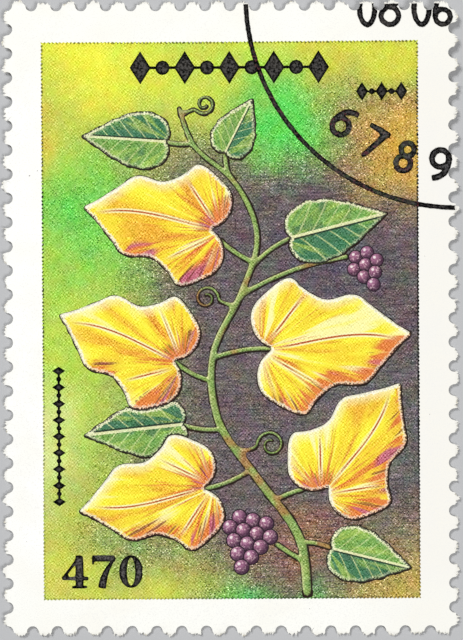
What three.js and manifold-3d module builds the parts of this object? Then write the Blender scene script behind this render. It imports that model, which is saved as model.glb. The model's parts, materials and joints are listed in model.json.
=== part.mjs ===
// A used, perforated postage stamp lying face up: gummed paper, a printed picture of a
// climbing vine, black ornaments and a plain number, and a corner of a round postmark.
// Millimetres. +Z goes up through the printed face, +Y to the stamp's top edge, and the
// origin is under the middle of the gummed back.
import * as THREE from 'three';
import { mergeVertices } from 'three/addons/utils/BufferGeometryUtils.js';
import Module from 'manifold-3d';

const wasm = await Module();
wasm.setup();

const DEGREE = Math.PI / 180;

// ---- perforation ----
const SPACES_ACROSS = 18;        // teeth along the top and bottom edges
const SPACES_DOWN = 26;          // teeth along each side
const PITCH_ACROSS = 1.65;       // a trace over 12 holes in 20 mm
const PITCH_DOWN = 1.60;         // 12.5 holes in 20 mm
const HOLE_RADIUS = 0.39;
const TOOTH_OVERHANG = 0.16;     // torn tips stand past the line of hole centres
const TIP_RAGGEDNESS = 0.045;
const TIP_POINTS = [0.3, 0.7];    // places along a tip, as shares of its width
const TIP_SHIFT = 0.1;           // how far each place may wander, as a share of the width
const TIP_SEED = 7;
const HOLE_STEPS = 7;
const HALF_WIDTH = SPACES_ACROSS * PITCH_ACROSS / 2;
const HALF_HEIGHT = SPACES_DOWN * PITCH_DOWN / 2;

// ---- layers, from the back to the face; the inks are thicker than life ----
const GUM_TOP = 0.015;
const PAPER_TOP = 0.115;
const GROUND_TOP = 0.127;
const PICTURE_TOP = 0.139;
const POSTMARK_TOP = 0.151;

// ---- printed picture ----
const PICTURE_WIDTH = 25;
const PICTURE_HEIGHT = 37;
const PICTURE_DROP = 0.13;       // the print sits a little low between the perforations
const PICTURE_TURN = 0.19 * DEGREE;
const INK_GAP = 0.06;            // between inks that lie side by side
const LAP = 0.01;                // a cutting shape reaches this far past what it cuts

// ---- pictured vine ----
const LEAF_EDGE_STEPS = 30;
const LEAF_WAVES = 6;
const LEAF_WAVE_HEIGHT = 0.008;  // as a share of the leaf's length
const STEM_WIDTH = 0.62;
const STEM_TIP_WIDTH = 0.26;
const STEM_STEPS = 44;
const STALK_WIDTH = 0.30;
const STALK_STEPS = 7;
const TENDRIL_WIDTH = 0.16;
const TENDRIL_STEPS = 26;
const TENDRIL_TURNS = 1.35;
const BERRY_STEPS = 14;

// ---- black print ----
const ROW_LOZENGES = 5;
const ROW_PITCH = 1.48;
const ROW_HEIGHT = 2.2;
const ROW_LOZENGE_WIDTH = 1.4;
const ROW_DOT_RADIUS = 0.48;
const ROW_RULE = 0.18;
const ROW_PLACE = new THREE.Vector2(0, 16.8);
const NUMBER_HEIGHT = 2.2;
const NUMBER_LEFT = -11.3;
const NUMBER_FOOT = -17.75;

// ---- postmark ----
const RING_RADIUS = 14.03;       // a 28 mm date stamp
const RING_STROKE = 0.33;
const RING_CENTRE = new THREE.Vector2(15.07, 21.34);
const RING_STEPS = 40;
const RING_START = 175;          // degrees; past the top edge
const RING_END = 275;            // past the right edge
const SHEET_MARGIN = 0.03;       // postmark ink stops this far inside the sheet's edge
const RING_NUMBER_RADIUS = 11.2;
const RING_NUMBER_HEIGHT = 2.25;
const RING_NUMBER_WIDTH = 1.5;
const DATE_NUMBER_HEIGHT = 2.6;
const DATE_NUMBER_WIDTH = 1.35;
const DATE_FOOT = 19.28;

// ---- colours ----
const PAPER_WHITE = 0xfbfaf3;
const GUM_CREAM = 0xefe8d2;
const GROUND_OLIVE = 0x8a9a58;
const LEAF_GOLD = 0xf4d34c;
const LEAF_GREEN = 0x8fc060;
const STEM_GREEN = 0x5f8a4a;
const BERRY_PLUM = 0x4b3148;
const PRINT_BLACK = 0x1b1a1c;
const POSTMARK_BLACK = 0x26262a;

// A number between 0 and 1, the same on each run.
function seededDraw(seed) {
  let state = seed;
  return () => {
    state = (state * 1664525 + 1013904223) % 4294967296;
    return state / 4294967296;
  };
}

// ---- solids: joins and cuts of extruded outlines ----
function solidOf(geometry) {
  const bare = geometry.clone();
  bare.deleteAttribute('normal');
  bare.deleteAttribute('uv');
  const merged = mergeVertices(bare, 1e-5);
  return new wasm.Manifold(new wasm.Mesh({
    numProp: 3,
    vertProperties: new Float32Array(merged.attributes.position.array),
    triVerts: new Uint32Array(merged.index.array),
  }));
}

function geometryOf(solid) {
  const mesh = solid.getMesh();
  const geometry = new THREE.BufferGeometry();
  geometry.setAttribute('position', new THREE.BufferAttribute(mesh.vertProperties, 3));
  geometry.setIndex(new THREE.BufferAttribute(mesh.triVerts, 1));
  geometry.computeVertexNormals();
  return geometry;
}

// A flat film of one outline between two heights.
function filmOf(shape, bottom, top, curveSegments = 6) {
  const geometry = new THREE.ExtrudeGeometry(shape, {
    depth: top - bottom,
    bevelEnabled: false,
    curveSegments,
  });
  geometry.translate(0, 0, bottom);
  return solidOf(geometry);
}

function joined(solids) {
  return solids.reduce((whole, solid) => whole.add(solid));
}

// The biggest body of a solid: a cut can leave a loose scrap, which isn't kept.
function mainBodyOf(solid) {
  return solid.decompose().reduce((big, body) => (body.volume() > big.volume() ? body : big));
}

// ---- outlines ----
function placed(points, place, angle) {
  return points.map((point) => point.clone().rotateAround(new THREE.Vector2(), angle).add(place));
}

function movedShape(shape, place, angle) {
  const { shape: outline, holes } = shape.extractPoints(5);
  const moved = new THREE.Shape(placed(outline, place, angle));
  moved.holes = holes.map((hole) => new THREE.Path(placed(hole, place, angle)));
  return moved;
}

// A strip of varying width along a row of points.
function ribbonShape(points, widthAt) {
  const left = [];
  const right = [];
  points.forEach((point, i) => {
    const before = points[Math.max(i - 1, 0)];
    const after = points[Math.min(i + 1, points.length - 1)];
    const along = after.clone().sub(before).normalize();
    const side = new THREE.Vector2(-along.y, along.x);
    const half = widthAt(i / (points.length - 1)) / 2;
    left.push(point.clone().addScaledVector(side, half));
    right.unshift(point.clone().addScaledVector(side, -half));
  });
  return new THREE.Shape([...left, ...right]);
}

function barShape(start, end, width) {
  return ribbonShape([start, end], () => width);
}

function lozengeShape(place, width, height) {
  return new THREE.Shape([
    new THREE.Vector2(place.x - width / 2, place.y),
    new THREE.Vector2(place.x, place.y - height / 2),
    new THREE.Vector2(place.x + width / 2, place.y),
    new THREE.Vector2(place.x, place.y + height / 2),
  ]);
}

function discShape(place, radius) {
  const shape = new THREE.Shape();
  shape.absarc(place.x, place.y, radius, 0, 2 * Math.PI, false);
  return shape;
}

// Part of a ring's band, from one angle to a greater one, in degrees.
function bandShape(place, radius, stroke, start, end) {
  const shape = new THREE.Shape();
  shape.absarc(place.x, place.y, radius + stroke / 2, start * DEGREE, end * DEGREE, false);
  shape.absarc(place.x, place.y, radius - stroke / 2, end * DEGREE, start * DEGREE, true);
  return shape;
}

// ---- perforated sheet ----
// The four edges run anticlockwise from the lower left corner. Each tooth has a torn tip,
// and each hole leaves an arc; a corner's hole leaves a shorter one.
function perforatedShape() {
  const draw = seededDraw(TIP_SEED);
  const flare = Math.asin(TOOTH_OVERHANG / HOLE_RADIUS);
  const mouth = HOLE_RADIUS * Math.cos(flare);
  const points = [];
  for (let side = 0; side < 4; side += 1) {
    const level = side % 2 === 0;
    const spaces = level ? SPACES_ACROSS : SPACES_DOWN;
    const pitch = level ? PITCH_ACROSS : PITCH_DOWN;
    const corner = new THREE.Vector2(
      level ? -HALF_WIDTH : -HALF_HEIGHT,
      level ? -HALF_HEIGHT : -HALF_WIDTH,
    );
    const turn = side * Math.PI / 2;
    const put = (along, inward) => {
      const point = new THREE.Vector2(corner.x + along, corner.y + inward);
      points.push(point.rotateAround(new THREE.Vector2(), turn));
    };
    for (let tooth = 1; tooth <= spaces; tooth += 1) {
      const start = (tooth - 1) * pitch + mouth;
      const tipWidth = pitch - 2 * mouth;
      for (const share of TIP_POINTS) {
        const sideways = (share + TIP_SHIFT * (2 * draw() - 1)) * tipWidth;
        put(start + sideways, -TOOTH_OVERHANG - TIP_RAGGEDNESS * (2 * draw() - 1));
      }
      const hole = tooth * pitch;
      const last = tooth < spaces ? -flare : Math.PI / 2 - flare;
      for (let step = 0; step <= HOLE_STEPS; step += 1) {
        const angle = THREE.MathUtils.lerp(Math.PI + flare, last, step / HOLE_STEPS);
        put(hole + HOLE_RADIUS * Math.cos(angle), HOLE_RADIUS * Math.sin(angle));
      }
    }
  }
  return new THREE.Shape(points);
}

// ---- pictured leaves ----
// Half of a leaf's edge, from the stalk's notch at the origin to the tip on +X, as cubic
// curves on a leaf of unit length and width. A full leaf has a back lobe and a side lobe.
const LEAF_KINDS = {
  full: [
    [-0.05, 0.02, -0.15, 0.07, -0.15, 0.20], [-0.15, 0.36, 0.03, 0.45, 0.19, 0.50],
    [0.23, 0.42, 0.29, 0.33, 0.40, 0.30], [0.50, 0.31, 0.57, 0.34, 0.66, 0.30],
    [0.76, 0.19, 0.88, 0.06, 1, 0],
  ],
  young: [[-0.10, 0.06, -0.08, 0.50, 0.26, 0.50], [0.52, 0.50, 0.78, 0.17, 1, 0]],
};

function leafPoints(leaf, grow = 0) {
  const edge = new THREE.Path();
  edge.moveTo(0, 0);
  for (const [ax, ay, bx, by, x, y] of LEAF_KINDS[leaf.kind]) {
    edge.bezierCurveTo(
      ax * leaf.length, ay * leaf.width,
      bx * leaf.length, by * leaf.width,
      x * leaf.length, y * leaf.width,
    );
  }
  const half = [];
  for (let step = 0; step <= LEAF_EDGE_STEPS; step += 1) {
    const share = step / LEAF_EDGE_STEPS;
    const along = edge.getTangentAt(share);
    const ease = Math.sin(Math.PI * share);
    const wave = LEAF_WAVE_HEIGHT * leaf.length * ease * Math.sin(2 * Math.PI * LEAF_WAVES * share);
    const out = new THREE.Vector2(-along.y, along.x).multiplyScalar(wave + grow);
    half.push(edge.getPointAt(share).add(out));
  }
  const mirrored = half.slice(1, -1).reverse().map((point) => new THREE.Vector2(point.x, -point.y));
  half[0].y = 0;
  half[0].x -= grow;
  half[half.length - 1].set(leaf.length + 2 * grow, 0);
  return placed([...half, ...mirrored], leaf.base, leaf.angle * DEGREE);
}

// A leaf's base, its length and width, the way its tip points in degrees, and the place on
// the stem that its stalk leaves, as a share of the stem's length.
const at = (x, y) => new THREE.Vector2(x, y);
const leafOf = (name, kind, base, length, width, angle, node) => (
  { name, kind, base, length, width, angle, node }
);
// A leaf lies over the ones before it.
const LEAVES = [
  leafOf('green_leaf_1', 'young', at(6.7, -15.2), 5.4, 3.7, -14, 0.10),
  leafOf('green_leaf_2', 'young', at(-3.3, -6.9), 6.6, 4.0, 186, 0.35),
  leafOf('green_leaf_3', 'young', at(4.1, 5.5), 6.6, 4.2, 14, 0.66),
  leafOf('green_leaf_4', 'young', at(-4.3, 11.9), 5.6, 3.8, 176, 0.93),
  leafOf('green_leaf_5', 'young', at(-0.3, 11.2), 4.0, 2.9, 63, 0.84),
  leafOf('golden_leaf_1', 'full', at(6.5, -11.0), 8.4, 8.2, 55, 0.19),
  leafOf('golden_leaf_2', 'full', at(-2.0, -11.2), 8.4, 8.0, 190, 0.26),
  leafOf('golden_leaf_3', 'full', at(-3.9, -2.6), 8.2, 8.2, 158, 0.44),
  leafOf('golden_leaf_4', 'full', at(2.9, -1.9), 9.3, 9.4, 6, 0.48),
  leafOf('golden_leaf_5', 'full', at(-1.4, 6.1), 8.6, 8.4, 170, 0.67),
];

const STEM_ROUTE = [
  [5.0, -18.4, 0], [4.5, -14.5, 0], [1.7, -10.5, 0], [-0.9, -6.6, 0], [-1.2, -2.2, 0],
  [0.7, 1.8, 0], [1.8, 5.6, 0], [0.3, 9.2, 0], [-2.4, 11.6, 0], [-3.4, 14.2, 0],
].map((place) => new THREE.Vector3(...place));

const TENDRILS = [
  { start: 0.985, reach: 1.7, angle: 25, hand: 1 },
  { start: 0.30, reach: 2.3, angle: 12, hand: -1 },
  { start: 0.585, reach: 2.0, angle: 165, hand: 1 },
];

// Each bunch hangs from its stalk: its top, the way it hangs, its berries' radius and the
// number of berries in each row.
const BUNCHES = [
  { node: 0.065, top: at(1.4, -13.3), angle: -104, berry: 0.54, rows: [3, 4, 3, 2, 1] },
  { node: 0.605, top: at(8.7, 4.3), angle: -68, berry: 0.48, rows: [2, 3, 2, 1] },
];
const BERRY_SPACING = 1.70;      // between neighbours, in berry radii

function stemCurve() {
  return new THREE.CatmullRomCurve3(STEM_ROUTE, false, 'centripetal');
}

function onStem(share) {
  const point = stemCurve().getPointAt(share);
  return new THREE.Vector2(point.x, point.y);
}

// A stalk bows gently from the stem to what it carries.
function stalkShape(start, end) {
  const middle = start.clone().lerp(end, 0.5);
  const across = end.clone().sub(start);
  middle.add(new THREE.Vector2(-across.y, across.x).multiplyScalar(0.12));
  const bow = new THREE.QuadraticBezierCurve(start, middle, end);
  return ribbonShape(bow.getPoints(STALK_STEPS), () => STALK_WIDTH);
}

// A tendril leaves the stem straight and winds into a spiral that tightens.
function tendrilShape({ start, reach, angle, hand }) {
  const root = onStem(start);
  const points = [root];
  const eye = root.clone().add(new THREE.Vector2(reach, 0).rotateAround(at(0, 0), angle * DEGREE));
  for (let step = 0; step <= TENDRIL_STEPS; step += 1) {
    const share = step / TENDRIL_STEPS;
    const radius = reach * 0.42 * (1 - 0.72 * share);
    const turn = (angle + 180) * DEGREE + hand * share * TENDRIL_TURNS * 2 * Math.PI;
    points.push(eye.clone().add(new THREE.Vector2(radius, 0).rotateAround(at(0, 0), turn)));
  }
  return ribbonShape(points, (share) => TENDRIL_WIDTH * (1.15 - 0.5 * share));
}

function berryPlaces({ top, angle, berry, rows }) {
  const step = BERRY_SPACING * berry;
  const places = [];
  rows.forEach((count, row) => {
    for (let i = 0; i < count; i += 1) {
      const place = at(row * step * Math.sin(Math.PI / 3), (i - (count - 1) / 2) * step);
      places.push(place.rotateAround(at(0, 0), angle * DEGREE).add(top));
    }
  });
  return places;
}

// ---- plain figures in strokes of one width, centred on the origin ----
function ringShape(place, radius, stroke) {
  const shape = discShape(place, radius + stroke / 2);
  shape.holes.push(discShape(place, radius - stroke / 2));
  return shape;
}

function ovalRingShape(halfWidth, halfHeight, side, cap) {
  const oval = (x, y) => discShape(at(0, 0), 1).getPoints(8).map((p) => at(p.x * x, p.y * y));
  const shape = new THREE.Shape(oval(halfWidth, halfHeight));
  shape.holes.push(new THREE.Path(oval(halfWidth - side, halfHeight - cap)));
  return shape;
}

const figures = {
  zero: (width, height, stroke) => [ovalRingShape(width / 2, height / 2, stroke, stroke)],
  six: (width, height, stroke) => {
    const bowl = width / 2 - stroke / 2;
    const middle = bowl + stroke / 2 - height / 2;
    const back = new THREE.QuadraticBezierCurve(
      at(-bowl, middle),
      at(-bowl, height * 0.36),
      at(bowl * 0.7, height / 2 - stroke / 2),
    );
    return [ringShape(at(0, middle), bowl, stroke), ribbonShape(back.getPoints(6), () => stroke)];
  },
  seven: (width, height, stroke) => {
    const top = height / 2 - stroke / 2;
    const leg = barShape(at(width / 2 - stroke * 0.6, top), at(-width * 0.12, -height / 2), stroke);
    return [barShape(at(-width / 2, top), at(width / 2, top), stroke), leg];
  },
  eight: (width, height, stroke) => {
    const upper = (height - stroke) * 0.235;
    const lower = (height - stroke) * 0.265;
    return [
      ringShape(at(0, height / 2 - stroke / 2 - upper), upper, stroke),
      ringShape(at(0, lower + stroke / 2 - height / 2), lower, stroke),
    ];
  },
  nine: (width, height, stroke) => figures
    .six(width, height, stroke)
    .map((shape) => movedShape(shape, at(0, 0), Math.PI)),
};

// ---- bold figures with thick and thin strokes, standing on the origin ----
const THICK = 0.52;
const THIN = 0.17;
const BOLD_FIGURES = [
  {
    name: 'number_four',
    width: 1.75,
    shapes: (h) => [
      barShape(at(1.16, 0), at(1.16, h), THICK),
      barShape(at(0.10, h * 0.33), at(1.16, h - THIN * 0.6), THIN),
      barShape(at(0, h * 0.30), at(1.75, h * 0.30), THIN * 1.4),
      barShape(at(0.66, THIN / 2), at(1.66, THIN / 2), THIN),
    ],
  },
  {
    name: 'number_seven',
    width: 1.55,
    shapes: (h) => [
      barShape(at(0, h - 0.21), at(1.55, h - 0.21), 0.42),
      barShape(at(0.07, h - 0.62), at(0.07, h), 0.14),
      ribbonShape(
        new THREE.QuadraticBezierCurve(at(1.44, h - 0.3), at(0.74, h * 0.45), at(0.66, 0)).getPoints(6),
        (share) => THIN + (THICK - THIN) * Math.min(1, 1.3 * share),
      ),
    ],
  },
  {
    name: 'number_zero',
    width: 1.6,
    shapes: (h) => [movedShape(ovalRingShape(0.8, h / 2, THICK, THIN), at(0.8, h / 2), 0)],
  },
];
const NUMBER_SPACING = 0.24;

// ---- ornaments: lozenges strung on a thin rule, so each is one body ----
function stringShapes({ from, to, lozenges, width, height, rule, dot, grow = 0 }) {
  const along = to.clone().sub(from);
  const level = Math.abs(along.x) > Math.abs(along.y);
  const shapes = [barShape(from, to, rule + 2 * grow)];
  for (let i = 0; i < 2 * lozenges - 1; i += 1) {
    const place = from.clone().addScaledVector(along, i / (2 * lozenges - 2));
    const wide = (level ? width : height) + 3 * grow;
    const high = (level ? height : width) + 3 * grow;
    const between = i % 2 === 1;
    if (between && dot > 0) shapes.push(discShape(place, dot + grow));
    if (!between) shapes.push(lozengeShape(place, wide, high));
  }
  return shapes;
}

const rowReach = (ROW_LOZENGES - 1) * ROW_PITCH;
const TOP_ROW = {
  from: at(ROW_PLACE.x - rowReach, ROW_PLACE.y),
  to: at(ROW_PLACE.x + rowReach, ROW_PLACE.y),
  lozenges: ROW_LOZENGES,
  width: ROW_LOZENGE_WIDTH,
  height: ROW_HEIGHT,
  rule: ROW_RULE,
  dot: ROW_DOT_RADIUS,
};
const CORNER_ROW = {
  from: at(8.8, 15.15),
  to: at(11.4, 15.15),
  lozenges: 3,
  width: 0.8,
  height: 1.25,
  rule: 0.14,
  dot: 0.2,
};
const SIDE_ROW = {
  from: at(-11.45, -12.0),
  to: at(-11.45, -3.3),
  lozenges: 9,
  width: 0.5,
  height: 0.8,
  rule: 0.09,
  dot: 0.13,
};

// ---- the pieces ----
const stamp = new THREE.Group();
const picture = new THREE.Group();
picture.position.y = -PICTURE_DROP;
picture.rotation.z = PICTURE_TURN;
stamp.add(picture);

function addPiece(parent, name, solid, color, roughness) {
  const material = new THREE.MeshStandardMaterial({ color, roughness, metalness: 0 });
  const mesh = new THREE.Mesh(geometryOf(solid), material);
  mesh.name = name;
  parent.add(mesh);
}

const sheetShape = perforatedShape();
addPiece(stamp, 'gum_film', filmOf(sheetShape, 0, GUM_TOP), GUM_CREAM, 0.45);
addPiece(stamp, 'paper_sheet', filmOf(sheetShape, GUM_TOP, PAPER_TOP), PAPER_WHITE, 0.7);

function groundFilm(grow, bottom, top) {
  const box = new THREE.BoxGeometry(PICTURE_WIDTH + 2 * grow, PICTURE_HEIGHT + 2 * grow, top - bottom);
  box.translate(0, 0, (top + bottom) / 2);
  return solidOf(box);
}
addPiece(picture, 'picture_ground', groundFilm(0, PAPER_TOP, GROUND_TOP), GROUND_OLIVE, 0.5);

const pictureFilm = (shape, segments) => filmOf(shape, GROUND_TOP, PICTURE_TOP, segments);
const clearFilm = (shape, segments) => filmOf(shape, GROUND_TOP - LAP, PICTURE_TOP + LAP, segments);

// Leaves: each one is cut back to make room for the leaves that lie over it.
const leafFilms = LEAVES.map((leaf) => pictureFilm(new THREE.Shape(leafPoints(leaf))));
const leafClear = LEAVES.map((leaf) => clearFilm(new THREE.Shape(leafPoints(leaf, INK_GAP))));
LEAVES.forEach((leaf, i) => {
  let film = leafFilms[i];
  for (let over = i + 1; over < LEAVES.length; over += 1) film = film.subtract(leafClear[over]);
  const gold = leaf.kind === 'full';
  addPiece(picture, leaf.name, mainBodyOf(film), gold ? LEAF_GOLD : LEAF_GREEN, 0.5);
});

// Berries of a bunch lap over each other, and the stalk stops short of them.
const bunchClear = [];
const allLeavesClear = joined(leafClear);
BUNCHES.forEach((bunch, i) => {
  const places = berryPlaces(bunch);
  const discs = (grow) => places.map((place) => discShape(place, bunch.berry + grow));
  const film = joined(discs(0).map((disc) => pictureFilm(disc, BERRY_STEPS / 2)));
  bunchClear.push(...discs(INK_GAP).map((disc) => clearFilm(disc, BERRY_STEPS / 2)));
  addPiece(picture, `berry_bunch_${i + 1}`, mainBodyOf(film.subtract(allLeavesClear)), BERRY_PLUM, 0.45);
});

// Stem, stalks and tendrils are one film, cut back round the leaves and berries.
const stemPoints = stemCurve().getSpacedPoints(STEM_STEPS).map((point) => at(point.x, point.y));
const stemWidth = (share) => THREE.MathUtils.lerp(STEM_WIDTH, STEM_TIP_WIDTH, share);
const stemParts = [ribbonShape(stemPoints, stemWidth)];
for (const leaf of LEAVES) stemParts.push(stalkShape(onStem(leaf.node), leaf.base));
for (const bunch of BUNCHES) stemParts.push(stalkShape(onStem(bunch.node), bunch.top));
for (const tendril of TENDRILS) stemParts.push(tendrilShape(tendril));
const stem = joined(stemParts.map((shape) => pictureFilm(shape)))
  .subtract(joined([allLeavesClear, ...bunchClear]));
addPiece(picture, 'vine_stem', mainBodyOf(stem), STEM_GREEN, 0.5);

// Black print.
const ornament = (row, bottom, top, grow = 0) => joined(
  stringShapes({ ...row, grow }).map((shape) => filmOf(shape, bottom, top)),
);
const ORNAMENTS = { top_ornament_row: TOP_ROW, corner_ornament: CORNER_ROW, side_ornament_line: SIDE_ROW };
for (const [name, row] of Object.entries(ORNAMENTS)) {
  addPiece(picture, name, ornament(row, GROUND_TOP, PICTURE_TOP), PRINT_BLACK, 0.4);
}
let pen = NUMBER_LEFT;
for (const figure of BOLD_FIGURES) {
  const film = joined(figure.shapes(NUMBER_HEIGHT).map((shape) => pictureFilm(shape)));
  addPiece(picture, figure.name, film.translate([pen, NUMBER_FOOT, 0]), PRINT_BLACK, 0.4);
  pen += figure.width + NUMBER_SPACING;
}

// Postmark: it lies on the paper, the picture and the black print, so its underside steps
// up over each, and it ends at the sheet's edge.
const sheetClip = filmOf(sheetShape, 0, 2 * POSTMARK_TOP)
  .scale([1 - SHEET_MARGIN / HALF_WIDTH, 1 - SHEET_MARGIN / HALF_HEIGHT, 1]);
const underPostmark = joined([
  groundFilm(INK_GAP / 2, GUM_TOP, GROUND_TOP),
  ornament(TOP_ROW, GROUND_TOP - LAP, PICTURE_TOP, INK_GAP / 2),
]).rotate([0, 0, PICTURE_TURN / DEGREE]).translate([0, -PICTURE_DROP, 0]);
function addPostmark(name, shapes, segments) {
  const film = joined(shapes.map((shape) => filmOf(shape, PAPER_TOP, POSTMARK_TOP, segments)));
  const body = mainBodyOf(film.intersect(sheetClip).subtract(underPostmark));
  addPiece(stamp, name, body, POSTMARK_BLACK, 0.6);
}
const ringBand = bandShape(RING_CENTRE, RING_RADIUS, RING_STROKE, RING_START, RING_END);
addPostmark('postmark_ring', [ringBand], RING_STEPS / 2);

const RING_NUMBERS = [
  { name: 'six', angle: 228 }, { name: 'seven', angle: 240 },
  { name: 'eight', angle: 252 }, { name: 'nine', angle: 264 },
];
for (const { name, angle } of RING_NUMBERS) {
  const place = at(RING_NUMBER_RADIUS, 0).rotateAround(at(0, 0), angle * DEGREE).add(RING_CENTRE);
  const turn = (angle - 270) * DEGREE;
  const shapes = figures[name](RING_NUMBER_WIDTH, RING_NUMBER_HEIGHT, RING_STROKE);
  addPostmark(`postmark_${name}`, shapes.map((shape) => movedShape(shape, place, turn)));
}
const DATE_FIGURES = [
  { name: 'zero', x: 9.1 }, { name: 'eight', x: 10.6 }, { name: 'zero', x: 12.7 }, { name: 'six', x: 14.1 },
];
DATE_FIGURES.forEach(({ name, x }, i) => {
  const place = at(x, DATE_FOOT + DATE_NUMBER_HEIGHT / 2);
  const shapes = figures[name](DATE_NUMBER_WIDTH, DATE_NUMBER_HEIGHT, RING_STROKE);
  addPostmark(`postmark_date_${i + 1}`, shapes.map((shape) => movedShape(shape, place, 0)));
});

export default stamp;
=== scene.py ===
"""A used postage stamp lying face up: perforated paper, dried gum, a printed vine, a postmark.

Lengths are in millimetres unless a name says otherwise, and become metres in the meshes.
Every film is cut along a fine grid and follows the sheet's own slight curl.
"""
import json
import math
import random

import bmesh
import bpy
from mathutils import Matrix, Vector, kdtree, noise


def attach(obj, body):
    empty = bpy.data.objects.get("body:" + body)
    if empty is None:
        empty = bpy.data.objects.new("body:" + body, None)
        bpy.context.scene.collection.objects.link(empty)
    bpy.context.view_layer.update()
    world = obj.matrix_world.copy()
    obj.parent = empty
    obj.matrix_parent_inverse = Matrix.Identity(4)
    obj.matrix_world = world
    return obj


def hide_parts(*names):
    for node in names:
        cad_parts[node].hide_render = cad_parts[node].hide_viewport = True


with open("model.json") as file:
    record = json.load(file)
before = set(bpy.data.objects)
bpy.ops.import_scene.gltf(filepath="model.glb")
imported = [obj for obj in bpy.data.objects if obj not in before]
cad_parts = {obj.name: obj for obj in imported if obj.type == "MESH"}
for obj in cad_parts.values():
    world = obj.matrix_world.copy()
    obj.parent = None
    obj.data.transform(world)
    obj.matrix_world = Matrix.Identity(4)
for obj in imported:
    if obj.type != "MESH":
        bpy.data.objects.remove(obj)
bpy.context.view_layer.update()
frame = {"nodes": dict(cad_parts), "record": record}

MM = 0.001
WELD = 1e-7                 # metres; a node's loose triangles are joined within this
ONE_FACE = 0.002            # radians; faces that turn less than this are made one
ON_CUT = 1e-9               # metres; a point this near to a cutting plane lies on it

# ---- sheet ----
SPACES_ACROSS, PITCH_ACROSS = 18, 1.65
SPACES_DOWN, PITCH_DOWN = 26, 1.60
HALF_WIDTH = SPACES_ACROSS * PITCH_ACROSS / 2
HALF_HEIGHT = SPACES_DOWN * PITCH_DOWN / 2
HOLE_RADIUS = 0.39
PAPER_TOP = 0.115
GROUND_TOP = 0.127
PICTURE_TOP = 0.139
BEND_STEP = 0.5             # between the lines on which films bend
FINE_STEP = 0.25            # and on which drawn shapes keep their shading
STROKE_STEP = 0.125         # and narrow strokes theirs
CORNER = 55                 # an outline that turns more than this, in degrees, keeps its corner
SQUARE_EDGE = math.radians(35)      # a fold sharper than this stays a hard edge
CURL_ACROSS = 0.09          # how far the sheet's sides curl up
CURL_DOWN = 0.06            # and its ends
CORNER_LIFT = 0.14          # and its upper right corner beyond both
COCKLE = 0.014              # half the height of its faint waves

# ---- printed picture ----
PICTURE_DROP = 0.13
PICTURE_TURN = math.radians(0.19)
PICTURE_WIDTH, PICTURE_HEIGHT = 25.0, 37.0
PICTURE = Matrix.Translation((0, -PICTURE_DROP, 0)) @ Matrix.Rotation(PICTURE_TURN, 4, "Z")
TO_PICTURE = PICTURE.inverted()
LIT_FROM = Vector((-0.6, 0.8))      # where the light in the drawing comes from
OUTLINE_SAMPLE = 0.05       # between the places at which an outline is measured
ON_OUTLINE = 0.02           # a point nearer than this lies on the outline
STRAIGHT_ACROSS = 0.9       # the cosine within which two sides of a stroke face each other

# Each pictured leaf's base and length, and the way its tip points, in degrees.
LEAVES = {
    "green_leaf_1": ((6.7, -15.2), 5.4, -14),
    "green_leaf_2": ((-3.3, -6.9), 6.6, 186),
    "green_leaf_3": ((4.1, 5.5), 6.6, 14),
    "green_leaf_4": ((-4.3, 11.9), 5.6, 176),
    "green_leaf_5": ((-0.3, 11.2), 4.0, 63),
    "golden_leaf_1": ((6.5, -11.0), 8.4, 55),
    "golden_leaf_2": ((-2.0, -11.2), 8.4, 190),
    "golden_leaf_3": ((-3.9, -2.6), 8.2, 158),
    "golden_leaf_4": ((2.9, -1.9), 9.3, 6),
    "golden_leaf_5": ((-1.4, 6.1), 8.6, 170),
}

# Bunches hang from their top at an angle in degrees, with so many berries in each row.
BUNCHES = {
    "berry_bunch_1": {"top": (1.4, -13.3), "angle": -104, "berry": 0.54, "rows": (3, 4, 3, 2, 1)},
    "berry_bunch_2": {"top": (8.7, 4.3), "angle": -68, "berry": 0.48, "rows": (2, 3, 2, 1)},
}
BERRY_SPACING = 1.70        # between neighbours, in berry radii

# ---- view and light ----
VIEW_HEIGHT = 42.58         # what the upright frame takes in
VIEW_CENTRE = (0.05, -0.11)
VIEW_TURN = math.radians(-0.14)
LENS = 100
LONG_SENSOR = 36
LIGHT_ON_SHEET = 1.10       # how bright the lights make a white sheet
TABLE_COLOR = (0.46, 0.465, 0.475, 1)
TABLE_ROUGHNESS = 0.8
STUDIO_GLOW = 0.195         # light from all round, in Blender's strength
NEAREST_SEEN = 0.01         # metres from the camera

# Place and size in metres, and power in watts, of each softbox.
SOFTBOXES = {
    "key_softbox": ((-0.25, 0.28, 0.38), 0.16, 2.20),
    "fill_softbox": ((0.28, -0.22, 0.36), 0.20, 1.48),
}


def smooth(low, high, value):
    """Goes smoothly from 0 to 1 as the value goes from low to high."""
    share = min(max((value - low) / (high - low), 0), 1)
    return share * share * (3 - 2 * share)


def lift(x, y):
    """How far the sheet's back stands off the table at a place."""
    across = CURL_ACROSS * (x / HALF_WIDTH) ** 2 * (1 + 0.5 * y / HALF_HEIGHT)
    down = CURL_DOWN * (y / HALF_HEIGHT) ** 2
    corner = CORNER_LIFT * smooth(0.9, 2.0, (y / HALF_HEIGHT) + (x / HALF_WIDTH))
    cockle = COCKLE * (1 + noise.noise((x / 5.5, y / 6.5, 0.3)))
    return across + down + corner + cockle


# ---- mesh helpers ----
def is_side(face):
    """True for a film's upright side, but not for its flat face or its flat back."""
    return abs(face.normal.z) < 0.5


def is_rim(edge):
    """True for an edge between a film's flat face and its side."""
    sides = [face for face in edge.link_faces if is_side(face)]
    return len(sides) == 1 and len(edge.link_faces) == 2


def rims(bm):
    return [edge for edge in bm.edges if is_rim(edge)]


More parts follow.
